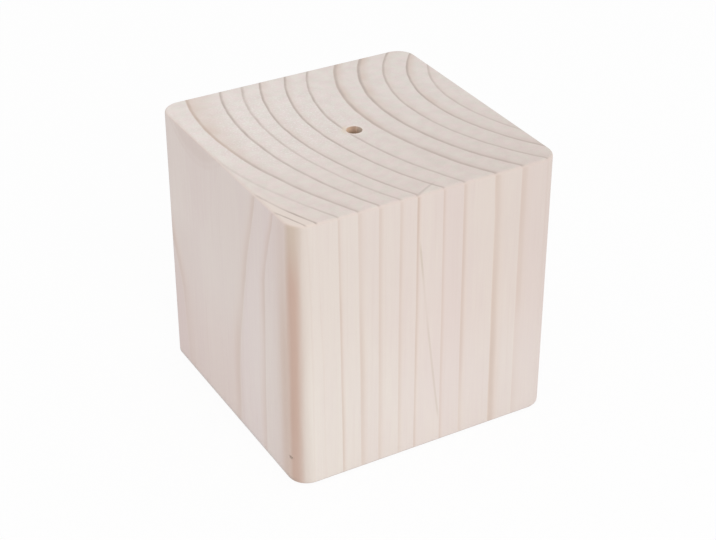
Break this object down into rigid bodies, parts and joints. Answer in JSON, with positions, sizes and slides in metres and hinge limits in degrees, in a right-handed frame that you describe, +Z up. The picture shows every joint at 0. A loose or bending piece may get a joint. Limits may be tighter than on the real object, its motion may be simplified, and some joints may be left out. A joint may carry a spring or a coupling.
{
  "type": "wooden cube",
  "caption": "Solid softwood cube with rounded upright edges, lightly sanded sawn ends and a blind pilot hole in the middle of the top, for use as a foot, riser or stand.",
  "frame": {"origin": "middle of the base, on the surface that the cube stands on", "axes": "+Z up along the grain to the drilled end; X and Y square to the planed sides, with the picture's near upright edge at -X -Y"},
  "size_m": [0.1, 0.1, 0.1],
  "materials": {
    "bare_softwood": "bare, planed sides and sanded sawn ends"
  },
  "bodies": {
    "root": {"wooden_cube": "bare_softwood"}
  },
  "joints": []
}
